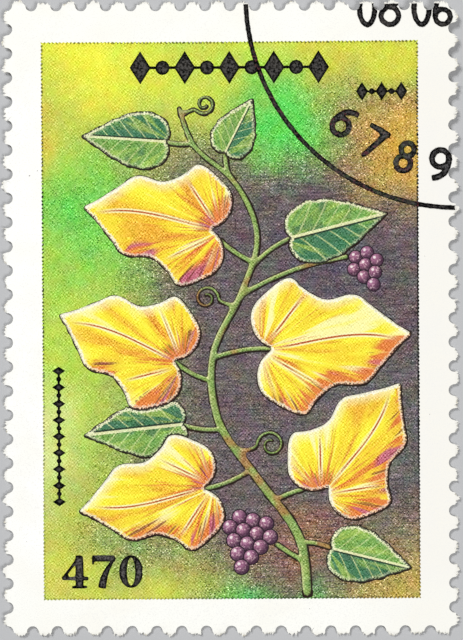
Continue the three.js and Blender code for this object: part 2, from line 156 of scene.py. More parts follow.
def merged_copy(node):
    """A bmesh of a node's mesh with its triangles joined into whole faces."""
    bm = bmesh.new()
    bm.from_mesh(frame["nodes"][node].data)
    bmesh.ops.remove_doubles(bm, verts=bm.verts, dist=WELD)
    bmesh.ops.recalc_face_normals(bm, faces=bm.faces)
    bmesh.ops.dissolve_limit(bm, angle_limit=ONE_FACE, verts=bm.verts, edges=bm.edges)
    bm.normal_update()
    return bm


def turn_at(vert):
    """How sharply a film's outline turns at a point, in degrees."""
    ends = [edge.other_vert(vert).co for edge in vert.link_edges if is_rim(edge)]
    if len(ends) != 2:
        return 180
    return math.degrees((vert.co - ends[0]).angle(ends[1] - vert.co, 0))


def round_outline(bm, cuts, rounds):
    """Makes the straight steps of a film's outline a smooth line, but keeps its corners."""
    corners = {vert for vert in bm.verts if turn_at(vert) > CORNER}
    bmesh.ops.subdivide_edges(bm, edges=rims(bm), cuts=cuts)
    curved = [vert for vert in bm.verts if vert not in corners]
    for _ in range(rounds):
        bmesh.ops.smooth_vert(bm, verts=curved, factor=0.5, use_axis_x=True, use_axis_y=True)
    bm.normal_update()


def unevenness(x, y, coarse_seed, fine_seed):
    """Coarse and fine noise together at a place."""
    return noise.noise((x * 4, y * 4, coarse_seed)) + noise.noise((x * 11, y * 11, fine_seed))


def roughen_outline(bm, reach):
    """Lets a film's ink bleed and shrink a little along its outline."""
    for vert in bm.verts:
        x, y = vert.co.xy / MM
        vert.co.x += reach * MM * unevenness(x, y, 5.2, 1.2)
        vert.co.y += reach * MM * unevenness(x, y, 8.7, 6.1)
    bm.normal_update()


def outward_ways(bm):
    """The way out of a film, at each point of its outline."""
    ways = {}
    for edge in rims(bm):
        side = next(face for face in edge.link_faces if is_side(face))
        for vert in edge.verts:
            ways[vert] = ways.get(vert, Vector()) + side.normal
    return {vert: way.normalized() for vert, way in ways.items()}


def cut_by_grid(bm, step):
    """Cuts a mesh along lines a step apart, both ways."""
    xs = [vert.co.x / MM for vert in bm.verts]
    ys = [vert.co.y / MM for vert in bm.verts]
    for axis, places in enumerate((xs, ys)):
        first = math.floor(min(places) / step) + 1
        last = math.ceil(max(places) / step)
        for line in range(first, last):
            spot, normal = [0, 0, 0], [0, 0, 0]
            spot[axis], normal[axis] = line * step * MM, 1
            everything = bm.verts[:] + bm.edges[:] + bm.faces[:]
            bmesh.ops.bisect_plane(bm, geom=everything, dist=ON_CUT, plane_co=spot, plane_no=normal)


def follow_curl(bm):
    """Bends a flat film to the sheet's curl."""
    for vert in bm.verts:
        vert.co.z += lift(vert.co.x / MM, vert.co.y / MM) * MM


def outline_places(edge):
    """Places along one edge of a film's outline, each with the way out of the film there."""
    first, second = (vert.co.xy / MM for vert in edge.verts)
    along = second - first
    inside = sum((face.calc_center_median().xy for face in edge.link_faces
                  if not is_side(face)), Vector((0, 0))) / MM
    outward = Vector((along.y, -along.x)).normalized()
    if outward.dot((first + second) / 2 - inside) < 0:
        outward = -outward
    steps = max(1, math.ceil(along.length / OUTLINE_SAMPLE))
    return [(first + along * (i / steps), outward) for i in range(steps + 1)]


def distance_across(outline, places, here, outward):
    """How far the outline is from a point, straight across the shape, or None."""
    def is_opposite(i):
        way = places[i][0] - here
        return way.dot(outward) < -STRAIGHT_ACROSS * way.length and way.length > ON_OUTLINE

    return outline.find((*here, 0), filter=is_opposite)[2]


def mark_edges(bm, rounded):
    """Gives each point its distance from the outline, and how far that side faces the light.

    from_edge is in millimetres. lit goes from -1 on the shaded side to 1 on the lit one. On a
    rounded shape it is 0 along the middle.
    """
    from_edge = bm.verts.layers.float.new("from_edge")
    lit = bm.verts.layers.float.new("lit")
    places = [place for edge in rims(bm) for place in outline_places(edge)]
    outline = kdtree.KDTree(len(places))
    for i, (place, _) in enumerate(places):
        outline.insert((*place, 0), i)
    outline.balance()
    for vert in bm.verts:
        here = vert.co.xy / MM
        _, nearest, distance = outline.find((*here, 0))
        place, outward = places[nearest]
        if distance >= ON_OUTLINE:
            outward = (place - here).normalized()
        vert[from_edge] = distance
        vert[lit] = outward.dot(LIT_FROM)
        across = distance_across(outline, places, here, outward) if rounded else None
        if across:
            vert[lit] *= (across - distance) / (across + distance)


def mesh_from(bm, name, material):
    """Ends a bmesh as a mesh of one material."""
    mesh = bpy.data.meshes.new(name)
    bm.to_mesh(mesh)
    bm.free()
    mesh.materials.append(material)
    return mesh


def new_object(name, data):
    """Adds an object to the scene."""
    made = bpy.data.objects.new(name, data)
    bpy.context.collection.objects.link(made)
    return made


def finished(bm, name, material, replaced=()):
    """Makes the bmesh a piece of the stamp, smooth but for its square edges."""
    bmesh.ops.triangulate(bm, faces=bm.faces)
    bmesh.ops.recalc_face_normals(bm, faces=bm.faces)
    bm.normal_update()
    for face in bm.faces:
        face.smooth = True
    for edge in bm.edges:
        edge.smooth = edge.calc_face_angle(0) < SQUARE_EDGE
    piece = new_object(name, mesh_from(bm, name, material))
    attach(piece, "root")
    if replaced:
        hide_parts(*replaced)


# ---- node helpers ----
def feed(tree, socket, value):
    """Gives a socket a plain value, or links another node's output to it."""
    if isinstance(value, bpy.types.NodeSocket):
        tree.links.new(value, socket)
    else:
        socket.default_value = value


def add_node(tree, kind, values=(), **settings):
    """Adds a node, then feeds its inputs with plain values or other nodes' outputs."""
    made = tree.nodes.new(kind)
    for name, setting in settings.items():
        setattr(made, name, setting)
    for key, value in dict(values).items():
        feed(tree, made.inputs[key], value)
    return made


def maths(tree, operation, *values, clamp=False):
    return add_node(tree, "ShaderNodeMath", enumerate(values),
                    operation=operation, use_clamp=clamp).outputs[0]


def times(tree, first, second):
    return maths(tree, "MULTIPLY", first, second)


def vectors(tree, operation, *values):
    made = add_node(tree, "ShaderNodeVectorMath", enumerate(values), operation=operation)
    return made.outputs["Value" if operation in ("DOT_PRODUCT", "LENGTH") else "Vector"]


def mixed(tree, factor, first, second):
    """The first colour, with so much of the second laid over it."""
    values = {0: factor, 6: first, 7: second}
    return add_node(tree, "ShaderNodeMix", values, data_type="RGBA").outputs[2]


def rise(tree, value, low, high, bottom=0.0, top=1.0):
    """Goes smoothly from bottom to top as the value goes from low to high."""
    sizes = {"From Min": low, "From Max": high, "To Min": bottom, "To Max": top}
    return add_node(tree, "ShaderNodeMapRange", {"Value": value, **sizes},
                    interpolation_type="SMOOTHSTEP").outputs["Result"]


def patches(tree, place, size, detail=2.0):
    """Random patches about so many millimetres across, from 0 to 1."""
    values = {"Vector": place, "Scale": 1 / size, "Detail": detail}
    return add_node(tree, "ShaderNodeTexNoise", values).outputs[0]


def swirls(tree, place, scale, detail, roughness=0.5):
    """Three random values at each place, from 0 to 1, that change about scale times a millimetre."""
    values = {"Vector": place, "Scale": scale, "Detail": detail, "Roughness": roughness}
    return add_node(tree, "ShaderNodeTexNoise", values).outputs[1]


def parts(tree, place):
    """A place's two or three numbers."""
    return add_node(tree, "ShaderNodeSeparateXYZ", {0: place}).outputs


def on_stamp(tree):
    """Where a point is on the stamp, in millimetres."""
    place = tree.nodes.new("ShaderNodeTexCoord").outputs["Object"]
    values = {"Vector": place, "Scale": (MM,) * 3}
    return add_node(tree, "ShaderNodeMapping", values, vector_type="TEXTURE").outputs[0]


def on_picture(tree):
    """Where a point is on the printed picture, in millimetres."""
    place = tree.nodes.new("ShaderNodeTexCoord").outputs["Object"]
    values = {"Vector": place, "Location": (0, -PICTURE_DROP * MM, 0),
              "Rotation": (0, 0, PICTURE_TURN), "Scale": (MM,) * 3}
    return add_node(tree, "ShaderNodeMapping", values, vector_type="TEXTURE").outputs[0]


def marked(tree, name):
    """A number that a piece's mesh carries at each point."""
    return add_node(tree, "ShaderNodeAttribute", attribute_name=name).outputs["Fac"]


def tone(red, green, blue):
    """A colour, given as it looks under the studio lights, from 0 to about 255."""
    shares = (red / 255, green / 255, blue / 255)
    linear = [((share + 0.055) / 1.055) ** 2.4 if share > 0.04 else share / 12.92 for share in shares]
    return (*[value / LIGHT_ON_SHEET for value in linear], 1)


def socket_kind(label):
    return "NodeSocketColor" if label == "Color" else "NodeSocketFloat"


def effect(name, inputs, outputs):
    """Starts a node group with such inputs and outputs: its tree, its inputs and its outputs."""
    tree = bpy.data.node_groups.new(name, "ShaderNodeTree")
    for label, value in inputs.items():
        kind = socket_kind(label)
        socket = tree.interface.new_socket(name=label, in_out="INPUT", socket_type=kind)
        socket.default_value = value
    for label in outputs:
        kind = socket_kind(label)
        tree.interface.new_socket(name=label, in_out="OUTPUT", socket_type=kind)
    start = tree.nodes.new("NodeGroupInput").outputs
    return tree, start, tree.nodes.new("NodeGroupOutput").inputs


def use(tree, group, **values):
    """Places a node group in a material and gives its outputs."""
    made = tree.nodes.new("ShaderNodeGroup")
    made.node_tree = group
    for label, value in values.items():
        feed(tree, made.inputs[label.replace("_", " ")], value)
    return made.outputs


# ---- shared effects ----
SCREEN_PITCH = 0.17
BLACK_ANGLE = 45
COLOR_ANGLES = (15, 75)     # degrees, for the inks that take away red and green
DOT_WANDER = 0.30           # how unevenly the screen's dots stand
COLOR_DOTS = 0.12           # how strong their dots are beside the black ink's
SPECK_SPACING = 0.085       # about what lies between two specks' middles
SPECK_HUE = 0.07            # how much of a speck is colour, and not gray
PALE_SPECKS = 0.55          # how strong pale specks are beside dark ones
BEAD_PITCH = 0.25           # between the dots along the picture's outline
SHOWN_GAMMA = 2.2           # dots and specks change a colour as it looks, not its light
LIGHTNESS_SHARES = (0.3, 0.6, 0.1)      # of red, green and blue
GRAIN_DEPTH = 0.01          # how high the paper's fibres stand


def screen_wave(tree, place, angle):
    """Rows of dots at an angle in degrees, from -1 between them to 1 on them."""
    values = {"Vector": place, "Rotation": (0, 0, math.radians(angle)),
              "Scale": (2 * math.pi / SCREEN_PITCH,) * 3}
    turned = add_node(tree, "ShaderNodeMapping", values).outputs[0]
    return vectors(tree, "DOT_PRODUCT", vectors(tree, "COSINE", turned), (0.5, 0.5, 0))


def screen_dots(tree, place):
    """The screens' dots, one ink in each channel, from about -1 between them to 1 on them."""
    wander = swirls(tree, place, 3.5, 1)
    wandered = vectors(tree, "MULTIPLY_ADD", wander, (DOT_WANDER, DOT_WANDER, 0), place)
    black = screen_wave(tree, wandered, BLACK_ANGLE)
    waves = [maths(tree, "MULTIPLY_ADD", screen_wave(tree, wandered, angle), COLOR_DOTS, black)
             for angle in COLOR_ANGLES]
    dots = add_node(tree, "ShaderNodeCombineXYZ", enumerate([*waves, black])).outputs[0]
    strength = rise(tree, patches(tree, place, 0.35, 1), 0.35, 0.65, 0.4, 1.6)
    return vectors(tree, "MULTIPLY", dots, strength)


def ink_specks(tree, place, amount):
    """Fine specks: most are faint, and the dark ones are stronger than the pale ones."""
    cells = add_node(tree, "ShaderNodeTexVoronoi", {"Vector": place, "Scale": 1 / SPECK_SPACING},
                     voronoi_dimensions="2D")
    chance = vectors(tree, "MULTIPLY_ADD", cells.outputs["Color"], (2, 2, 2), (-1, -1, -1))
    chance = vectors(tree, "MULTIPLY", chance, vectors(tree, "MULTIPLY", chance, chance))
    weaker = vectors(tree, "MULTIPLY", chance, (PALE_SPECKS,) * 3)
    chance = vectors(tree, "MINIMUM", chance, weaker)
    gray = times(tree, vectors(tree, "DOT_PRODUCT", chance, (1, 0, 0)), 1 - SPECK_HUE)
    specks = vectors(tree, "MULTIPLY_ADD", chance, (SPECK_HUE,) * 3, gray)
    shape = rise(tree, cells.outputs["Distance"], 0.55, 0.22, 0, 1.25)
    return vectors(tree, "MULTIPLY", specks, times(tree, shape, amount))


def make_print_screen():
    """A colour broken up by the printing screen's dots, by fine specks and faint blotches.

    All three are strongest in the middle tones, and leave white and black nearly as they are.
    """
    inputs = {"Color": (0.5, 0.5, 0.5, 1), "Dots": 0.3, "Specks": 0.3, "Blotches": 0.3}
    tree, start, end = effect("print_screen", inputs, ["Color"])
    place = on_picture(tree)
    dots = vectors(tree, "MULTIPLY", screen_dots(tree, place), start["Dots"])
    cloud = vectors(tree, "MULTIPLY_ADD", swirls(tree, place, 1.0, 2, 0.6), (2, 2, 2), (-1, -1, -1))
    blotches = vectors(tree, "MULTIPLY", cloud, start["Blotches"])
    change = vectors(tree, "ADD", dots, blotches)
    change = vectors(tree, "ADD", change, ink_specks(tree, place, start["Specks"]))
    values = {"Color": start["Color"], "Gamma": 1 / SHOWN_GAMMA}
    shown = add_node(tree, "ShaderNodeGamma", values).outputs[0]
    lightness = vectors(tree, "DOT_PRODUCT", shown, LIGHTNESS_SHARES)
    darkness = maths(tree, "SUBTRACT", 1.0, lightness)
    room = times(tree, darkness, maths(tree, "POWER", lightness, 1.5))
    room = maths(tree, "MULTIPLY_ADD", room, 2.0, 0.08)
    shown = vectors(tree, "MULTIPLY_ADD", change, room, shown)
    shown = vectors(tree, "MAXIMUM", shown, (0.01, 0.01, 0.01))
    values = {"Color": shown, "Gamma": SHOWN_GAMMA}
    feed(tree, end["Color"], add_node(tree, "ShaderNodeGamma", values).outputs[0])
    return tree


def make_paper_grain():
    """The felted surface of machine-made paper: a height, a broad tint and a fine one."""
    tree, start, end = effect("paper_grain", {"Fibre Length": 0.25}, ["Height", "Tint", "Fine"])
    place = on_stamp(tree)
    fine = patches(tree, place, 0.06, 3)
    values = {"Vector": place, "Rotation": (0, 0, 0.5), "Scale": (1, 3.2, 1)}
    drawn_out = add_node(tree, "ShaderNodeMapping", values).outputs[0]
    fibres = add_node(tree, "ShaderNodeTexNoise", {"Vector": drawn_out, "Detail": 2.0,
                      "Scale": maths(tree, "DIVIDE", 1.0, start["Fibre Length"])}).outputs[0]
    feed(tree, end["Height"], maths(tree, "MULTIPLY_ADD", fine, 0.5, fibres))
    feed(tree, end["Tint"], patches(tree, place, 2.6, 3))
    feed(tree, end["Fine"], patches(tree, place, 0.075, 1))
    return tree


def make_torn_line():
    """How torn the sheet is: 0 inside the middles of the perforations, 1 at the tips."""
    tree, start, end = effect("torn_line", {"Start": -0.05, "End": 0.2}, ["Torn"])
    place = on_stamp(tree)
    outer = vectors(tree, "SUBTRACT", vectors(tree, "ABSOLUTE", place), (HALF_WIDTH, HALF_HEIGHT, 0))
    sides = parts(tree, outer)
    past = maths(tree, "MAXIMUM", sides[0], sides[1])
    uneven = maths(tree, "MULTIPLY_ADD", patches(tree, place, 0.2, 3), 0.16, -0.08)
    past = maths(tree, "ADD", past, uneven)
    feed(tree, end["Torn"], rise(tree, past, start["Start"], start["End"]))
    return tree


def make_leaf_rays():
    """Rays that spread from a leaf's base, from its map: U along the leaf and V across it.

    Rays is broad and Streaks is fine, each from 0 to 1. Near Base falls from 1 at the base.
    Angle is in radians from the midrib, and Reach is the distance in lengths from where the
    rays meet, a little below the base. Across is 0 on the midrib.
    """
    outputs = ["Rays", "Streaks", "Near Base", "Angle", "Reach", "Across"]
    tree, start, end = effect("leaf_rays", {"Leaf": 0.0}, outputs)
    on_leaf = parts(tree, tree.nodes.new("ShaderNodeUVMap").outputs[0])
    along = maths(tree, "ADD", on_leaf[0], 0.10)
    across = maths(tree, "SUBTRACT", on_leaf[1], 0.5)
    angle = maths(tree, "ARCTAN2", across, along)
    both = add_node(tree, "ShaderNodeCombineXYZ", {0: along, 1: across}).outputs[0]
    reach = vectors(tree, "LENGTH", both)
    for label, turns, lengths, seed in (("Rays", 5.5, 1.3, 3.0), ("Streaks", 17, 2.2, 11.0)):
        values = {0: times(tree, angle, turns), 1: times(tree, reach, lengths),
                  2: maths(tree, "MULTIPLY_ADD", start["Leaf"], 7.3, seed)}
        polar = add_node(tree, "ShaderNodeCombineXYZ", values).outputs[0]
        wave = patches(tree, polar, 1.0, 2)
        feed(tree, end[label], rise(tree, wave, 0.30, 0.70))
    feed(tree, end["Near Base"], rise(tree, reach, 0.85, 0.05))
    feed(tree, end["Angle"], angle)
    feed(tree, end["Reach"], reach)
    feed(tree, end["Across"], across)
    return tree


def make_ink_wear():
    """Where a solid ink lies thin: pinholes, and broader patches that took less of it."""
    inputs = {"Pinholes": 0.5, "Thin Patches": 0.5}
    tree, start, end = effect("ink_wear", inputs, ["Thin", "Mottle"])
    place = on_stamp(tree)
    feed(tree, end["Mottle"], rise(tree, patches(tree, place, 0.13, 2), 0.36, 0.64))
    holes = rise(tree, patches(tree, place, 0.12, 3), 0.56, 0.72)
    thin = rise(tree, patches(tree, place, 0.75, 3), 0.48, 0.72)
    value = times(tree, holes, start["Pinholes"])
    value = maths(tree, "MULTIPLY_ADD", thin, start["Thin Patches"], value, clamp=True)
    feed(tree, end["Thin"], value)
    return tree


def make_ragged_edge():
    """The distance from a drawn shape's outline, made uneven by the screen it was printed with."""
    tree, start, end = effect("ragged_edge", {"Distance": 0.0}, ["Distance"])
    place = on_picture(tree)
    jitter = maths(tree, "MULTIPLY_ADD", patches(tree, place, 0.11, 1), 0.38, -0.19)
    beads = times(tree, screen_wave(tree, place, BLACK_ANGLE), 0.02)
    uneven = maths(tree, "ADD", jitter, beads)
    feed(tree, end["Distance"], maths(tree, "ADD", start["Distance"], uneven))
    return tree


PRINT_SCREEN = make_print_screen()
RAGGED_EDGE = make_ragged_edge()
PAPER_GRAIN = make_paper_grain()
TORN_LINE = make_torn_line()
LEAF_RAYS = make_leaf_rays()
INK_WEAR = make_ink_wear()


# ---- materials ----
def where(tree, *masks):
    """The product of masks. Each is a value from 0 to 1, or what rise needs to make one."""
    masks = [rise(tree, *mask) if isinstance(mask, tuple) else mask for mask in masks]
    product = masks[0]
    for mask in masks[1:]:
        product = times(tree, product, mask)
    return product


def layered(tree, color, *layers):
    """Lays tones over a colour, one after another. Each layer is a tone and then its masks."""
    for shade, *masks in layers:
        color = mixed(tree, where(tree, *masks), color, tone(*shade))
    return color


def start_material(name):
    """Starts a material: itself and its tree."""
    material = bpy.data.materials.new(name)
    material.use_nodes = True
    return material, material.node_tree


def screened(tree, color, dots, specks, blotches):
    """A colour as the printing screen breaks it up."""
    return use(tree, PRINT_SCREEN, Color=color, Dots=dots, Specks=specks, Blotches=blotches)["Color"]


def finish_surface(material, color, roughness, gloss, bump):
    """Colour, gloss, and the paper's grain showing through as a bump."""
    tree = material.node_tree
    shader = tree.nodes["Principled BSDF"].inputs
    feed(tree, shader["Base Color"], color)
    feed(tree, shader["Roughness"], roughness)
    shader["Specular IOR Level"].default_value = gloss
    grain = use(tree, PAPER_GRAIN)["Height"]
    values = {"Height": grain, "Strength": bump, "Distance": GRAIN_DEPTH * MM}
    feed(tree, shader["Normal"], add_node(tree, "ShaderNodeBump", values).outputs[0])
    return material


def finish_picture(material, color, dots, specks, blotches, roughness=0.5, gloss=0.15):
    """Finishes a drawn shape, its colour broken up by the printing screen."""
    color = screened(material.node_tree, color, dots, specks, blotches)
    return finish_surface(material, color, roughness, gloss, bump=0.2)


def make_paper(name):
    """White paper, duller to one side, warm in patches and rough where it is torn."""
    material, tree = start_material(name)
    grain = use(tree, PAPER_GRAIN)
    place = parts(tree, on_stamp(tree))
    color = mixed(tree, rise(tree, place[0], 7.0, 13.5), tone(257, 257, 254), tone(247, 245, 239))
    color = layered(
        tree, color,
        ((251, 251, 243), (maths(tree, "ABSOLUTE", place[1]), 16.0, 19.0, 0, 0.55)),
        ((250, 247, 236), (grain["Tint"], 0.3, 0.75, 0, 0.5)),
        ((243, 242, 238), (grain["Fine"], 0.46, 0.78)),
        ((238, 236, 228), times(tree, use(tree, TORN_LINE)["Torn"], 0.6)))
    return finish_surface(material, color, roughness=0.85, gloss=0.25, bump=0.5)


def make_gum(name):
    """Thin dried gum: cream and slightly shiny, crazed in places and rubbed away in a few."""
    material, tree = start_material(name)
    place = on_stamp(tree)
    bent = vectors(tree, "MULTIPLY_ADD", swirls(tree, place, 1.2, 3), (0.9, 0.9, 0), place)
    crack = add_node(tree, "ShaderNodeTexVoronoi", {"Vector": bent, "Scale": 1.1},
                     feature="DISTANCE_TO_EDGE", voronoi_dimensions="2D").outputs[0]
    worn = rise(tree, patches(tree, place, 5.0, 4), 0.58, 0.66)
    color = mixed(tree, patches(tree, place, 9.0, 3), tone(241, 234, 212), tone(250, 246, 232))
    color = layered(
        tree, color,
        ((234, 226, 204), (patches(tree, place, 0.16, 3), 0.45, 0.75, 0, 0.5)),
        ((206, 192, 160), (crack, 0.045, 0.0, 0, 0.35), (patches(tree, place, 6.0, 2), 0.44, 0.60)),
        ((251, 250, 245), times(tree, worn, 0.5)))
    roughness = rise(tree, worn, 0, 1, 0.32, 0.8)
    return finish_surface(material, color, roughness, gloss=0.5, bump=0.3)


def soft_spot(tree, place, under, centre, reach, turn, color, strength):
    """Lays one airbrushed spot of colour over what is under it."""
    values = {"Vector": place, "Location": (*centre, 0), "Rotation": (0, 0, math.radians(turn)),
              "Scale": (*reach, 1000)}
    in_reaches = add_node(tree, "ShaderNodeMapping", values, vector_type="TEXTURE").outputs[0]
    away = vectors(tree, "LENGTH", in_reaches)
    return layered(tree, under, (color, (away, 1.0, 0.0, 0, strength)))


GROUND_MIDDLE = (108, 98, 97)
# Centre, reach across and down, turn in degrees, colour and strength of each airbrushed spot.
GROUND_SPOTS = (
    ((-14.0, 1.0), (13.0, 30.0), 0, (186, 214, 84), 1.6),
    ((-3.0, 22.5), (21.0, 16.0), 4, (204, 220, 82), 1.7),
    ((-10.0, -21.5), (17.0, 12.5), -8, (206, 211, 88), 1.6),
    ((13.5, -21.0), (13.0, 10.0), 20, (196, 176, 86), 1.3),
    ((-9.5, 7.0), (6.5, 7.5), 20, (112, 206, 84), 1.0),
    ((-14.0, -8.5), (5.5, 8.0), 0, (232, 233, 164), 1.0),
    ((-9.0, 17.5), (7.0, 4.6), -12, (240, 238, 70), 1.1),
    ((-13.4, 12.5), (3.2, 5.0), 0, (224, 198, 82), 1.0),
    ((3.6, 13.4), (6.4, 5.0), 10, (98, 214, 88), 1.1),
    ((12.6, 11.6), (7.4, 7.0), 0, (208, 168, 76), 1.3),
    ((9.4, 19.0), (8.0, 5.0), 0, (214, 216, 74), 1.2),
    ((2.4, -19.6), (6.5, 4.2), 0, (92, 204, 96), 1.1),
    ((4.8, -14.6), (6.5, 3.2), 12, (158, 112, 82), 0.9),
    ((10.4, -7.4), (6.0, 5.5), 0, (102, 106, 106), 0.7),
    ((6.0, 3.4), (9.0, 7.5), 0, (98, 89, 97), 1.0),
    ((-6.4, -14.6), (5.0, 4.2), 25, (124, 156, 94), 0.8),
    ((12.6, 0.4), (4.0, 5.5), 0, (104, 92, 92), 0.9),
)


def streaked(tree, flat, color, dusk):
    """Lays fine level streaks, dark and pale, over the dusky part of the ground."""
    values = {"Vector": flat, "Scale": (0.7, 8, 1)}
    streaks = patches(tree, add_node(tree, "ShaderNodeMapping", values).outputs[0], 1.0, 1)
    return layered(
        tree, color,
        ((66, 60, 72), (streaks, 0.52, 0.64, 0, 0.52), dusk),
        ((160, 150, 150), (streaks, 0.44, 0.32, 0, 0.27), dusk))


def fringe_mask(tree, flat, lightness):
    """Where the picture's last row of dark dots lies: weaker low down and on pale ground."""
    sides = parts(tree, flat)
    from_side = maths(tree, "SUBTRACT", PICTURE_WIDTH / 2, maths(tree, "ABSOLUTE", sides[0]))
    from_end = maths(tree, "SUBTRACT", PICTURE_HEIGHT / 2, maths(tree, "ABSOLUTE", sides[1]))
    at_end = maths(tree, "GREATER_THAN", from_side, from_end)
    along = add_node(tree, "ShaderNodeMix", {0: at_end, 2: sides[1], 3: sides[0]}).outputs[0]
    along = maths(tree, "MULTIPLY_ADD", patches(tree, flat, 0.5, 1), 0.4, along)
    bead = maths(tree, "COSINE", times(tree, along, 2 * math.pi / BEAD_PITCH))
    uneven = maths(tree, "MULTIPLY_ADD", patches(tree, flat, 0.6, 3), 4.6, -2.2)
    uneven = maths(tree, "ADD", uneven, rise(tree, lightness, 0.40, 0.16))
    bead = maths(tree, "ADD", bead, uneven)
    from_rim = maths(tree, "MINIMUM", from_side, from_end)
    return where(tree, (from_rim, 0.14, 0.09), (bead, -0.2, 0.5),
                 (sides[1], -7.0, -11.0, 1.0, 0.6), (lightness, 0.62, 0.40, 0.7, 1.0))


def make_ground(name):
    """An out-of-focus ground, airbrushed in limes, greens and ambers round a dusky middle."""
    material, tree = start_material(name)
    flat = on_picture(tree)
    sway = vectors(tree, "MULTIPLY_ADD", swirls(tree, flat, 0.22, 2), (5, 5, 0), (-2.5, -2.5, 0))
    place = vectors(tree, "ADD", flat, sway)
    color = tone(*GROUND_MIDDLE)
    for spot in GROUND_SPOTS:
        color = soft_spot(tree, place, color, *spot)
    lightness = vectors(tree, "DOT_PRODUCT", color, LIGHTNESS_SHARES)
    middling = where(tree, (patches(tree, flat, 2.2, 2), 0.36, 0.60, 0.5, 1.0),
                     (lightness, 0.50, 0.28), (lightness, 0.09, 0.19, 0.45, 1.0))
    specks = maths(tree, "MULTIPLY_ADD", middling, 1.75, 0.36)
    color = streaked(tree, flat, color, rise(tree, lightness, 0.36, 0.18))
    color = screened(tree, color, 0.24, specks, 0.20)
    color = layered(tree, color, ((8, 10, 6), fringe_mask(tree, flat, lightness)))
    return finish_surface(material, color, roughness=0.55, gloss=0.12, bump=0.25)


def make_golden(name, leaf):
    """A yellow leaf with orange rays, cream rims to the light and rose in its shade."""
    material, tree = start_material(name)
    rays = use(tree, LEAF_RAYS, Leaf=float(leaf))
    broad, fine, near, reach = (rays[label] for label in ("Rays", "Streaks", "Near Base", "Reach"))
    from_edge, lit = marked(tree, "from_edge"), marked(tree, "lit")
    ragged = use(tree, RAGGED_EDGE, Distance=from_edge)["Distance"]
    orange = where(tree, (broad, 0.35, 0.0), maths(tree, "MULTIPLY_ADD", near, 0.4, 0.55))
    shade = where(tree, (lit, 0.0, -0.9), (from_edge, 1.6, 0.1))
    deep = maths(tree, "MULTIPLY_ADD", shade, 0.8, maths(tree, "MULTIPLY_ADD", near, 0.35, fine))
    bow = times(tree, reach, maths(tree, "SUBTRACT", 0.9, reach))
    bowed = maths(tree, "MULTIPLY_ADD", bow, 0.35 if leaf % 2 else -0.35, rays["Angle"])
    rib = times(tree, maths(tree, "PINGPONG", bowed, 0.36), reach)
    inside = where(tree, (from_edge, 0.2, 1.6), (fine, 0.0, 0.4, 0.4, 1.0))
    warmth = patches(tree, on_picture(tree), 2.2, 2)
    color = layered(
        tree, mixed(tree, warmth, tone(247, 205, 52), tone(253, 243, 62)),
        # pale and orange rays
        ((254, 244, 66), (broad, 0.45, 0.75, 0, 0.9)),
        ((254, 250, 184), (broad, 0.80, 1.0, 0, 0.8)),
        ((238, 156, 56), orange),
        # red, rose and dark creases in the shade, and a pale side in the light
        ((218, 92, 56), (deep, 0.94, 1.35, 0, 0.85)),
        ((232, 134, 66), times(tree, shade, 0.75)),
        ((190, 100, 136), (shade, 0.2, 0.7, 0, 0.8), (broad, 0.36, 0.16)),
        ((128, 54, 50), (fine, 0.22, 0.06, 0, 0.8), (shade, 0.04, 0.4)),
        ((254, 250, 200), (lit, -0.1, 0.9, 0, 0.6), (from_edge, 0.9, 0.1)),
        # bowed ribs: a dark line on a pale one, both fading towards the outline
        ((254, 250, 190), (rib, 0.022, 0.012), inside),
        ((190, 92, 44), (rib, 0.009, 0.004), inside),
        # cream rim and dark edge
        ((254, 251, 224), (ragged, 0.25, 0.15), (lit, -1.0, 0.6, 0.45, 1.0)),
        ((74, 34, 26), (ragged, 0.10, 0.04), (lit, 0.6, -0.3, 0.25, 0.95)))
    specks = maths(tree, "MULTIPLY_ADD", orange, 0.6, 0.25)
    return finish_picture(material, color, 0.26, specks, 0.08)


def make_green(name, leaf):
    """A green leaf: one half in the light, one in shade, a cream midrib and cream rims."""
    material, tree = start_material(name)
    rays = use(tree, LEAF_RAYS, Leaf=float(leaf))
    across = rays["Across"]
    from_edge = use(tree, RAGGED_EDGE, Distance=marked(tree, "from_edge"))["Distance"]
    side = maths(tree, "ABSOLUTE", across)
    climb = maths(tree, "SUBTRACT", rays["Reach"], times(tree, side, 1.1))
    side_rib = maths(tree, "PINGPONG", climb, 0.075)
    from_shadow = maths(tree, "ABSOLUTE", maths(tree, "ADD", across, 0.022))
    half = rise(tree, across, -0.02, 0.02)
    color = layered(
        tree, mixed(tree, half, tone(70, 126, 88), tone(122, 168, 84)),
        ((172, 202, 94), (rays["Rays"], 0.4, 1.0, 0, 0.65)),
        ((66, 104, 84), (patches(tree, on_picture(tree), 1.1, 2), 0.52, 0.70, 0, 0.6)),
        ((206, 220, 150), (side_rib, 0.014, 0.004, 0, 0.6)),
        # the midrib, on its shadow
        ((40, 62, 46), (from_shadow, 0.016, 0.006)),
        ((228, 232, 178), (side, 0.018, 0.010)),
        # cream rim and dark edge
        ((238, 240, 196), (from_edge, 0.26, 0.14), (marked(tree, "lit"), -1.0, 0.4, 0.25, 1.0)),
        ((34, 38, 34), (from_edge, 0.10, 0.05, 0, 0.9)))
    return finish_picture(material, color, 0.22, 0.75, 0.12)


def make_stem(name):
    """A green stem with brown patches, pale to the light and dark in its shade."""
    material, tree = start_material(name)
    flat = on_picture(tree)
    lit = marked(tree, "lit")
    color = layered(
        tree, mixed(tree, patches(tree, flat, 1.4, 2), tone(112, 150, 84), tone(170, 190, 104)),
        ((226, 228, 164), (lit, 0.05, 0.7, 0, 0.85)),
        ((78, 84, 56), (lit, -0.1, -0.8, 0, 0.8)),
        ((176, 112, 72), (patches(tree, flat, 2.4, 2), 0.52, 0.66, 0, 0.7)),
        ((44, 40, 34), (marked(tree, "from_edge"), 0.06, 0.03, 0, 0.7)))
    return finish_picture(material, color, 0.22, 0.75, 0.12)


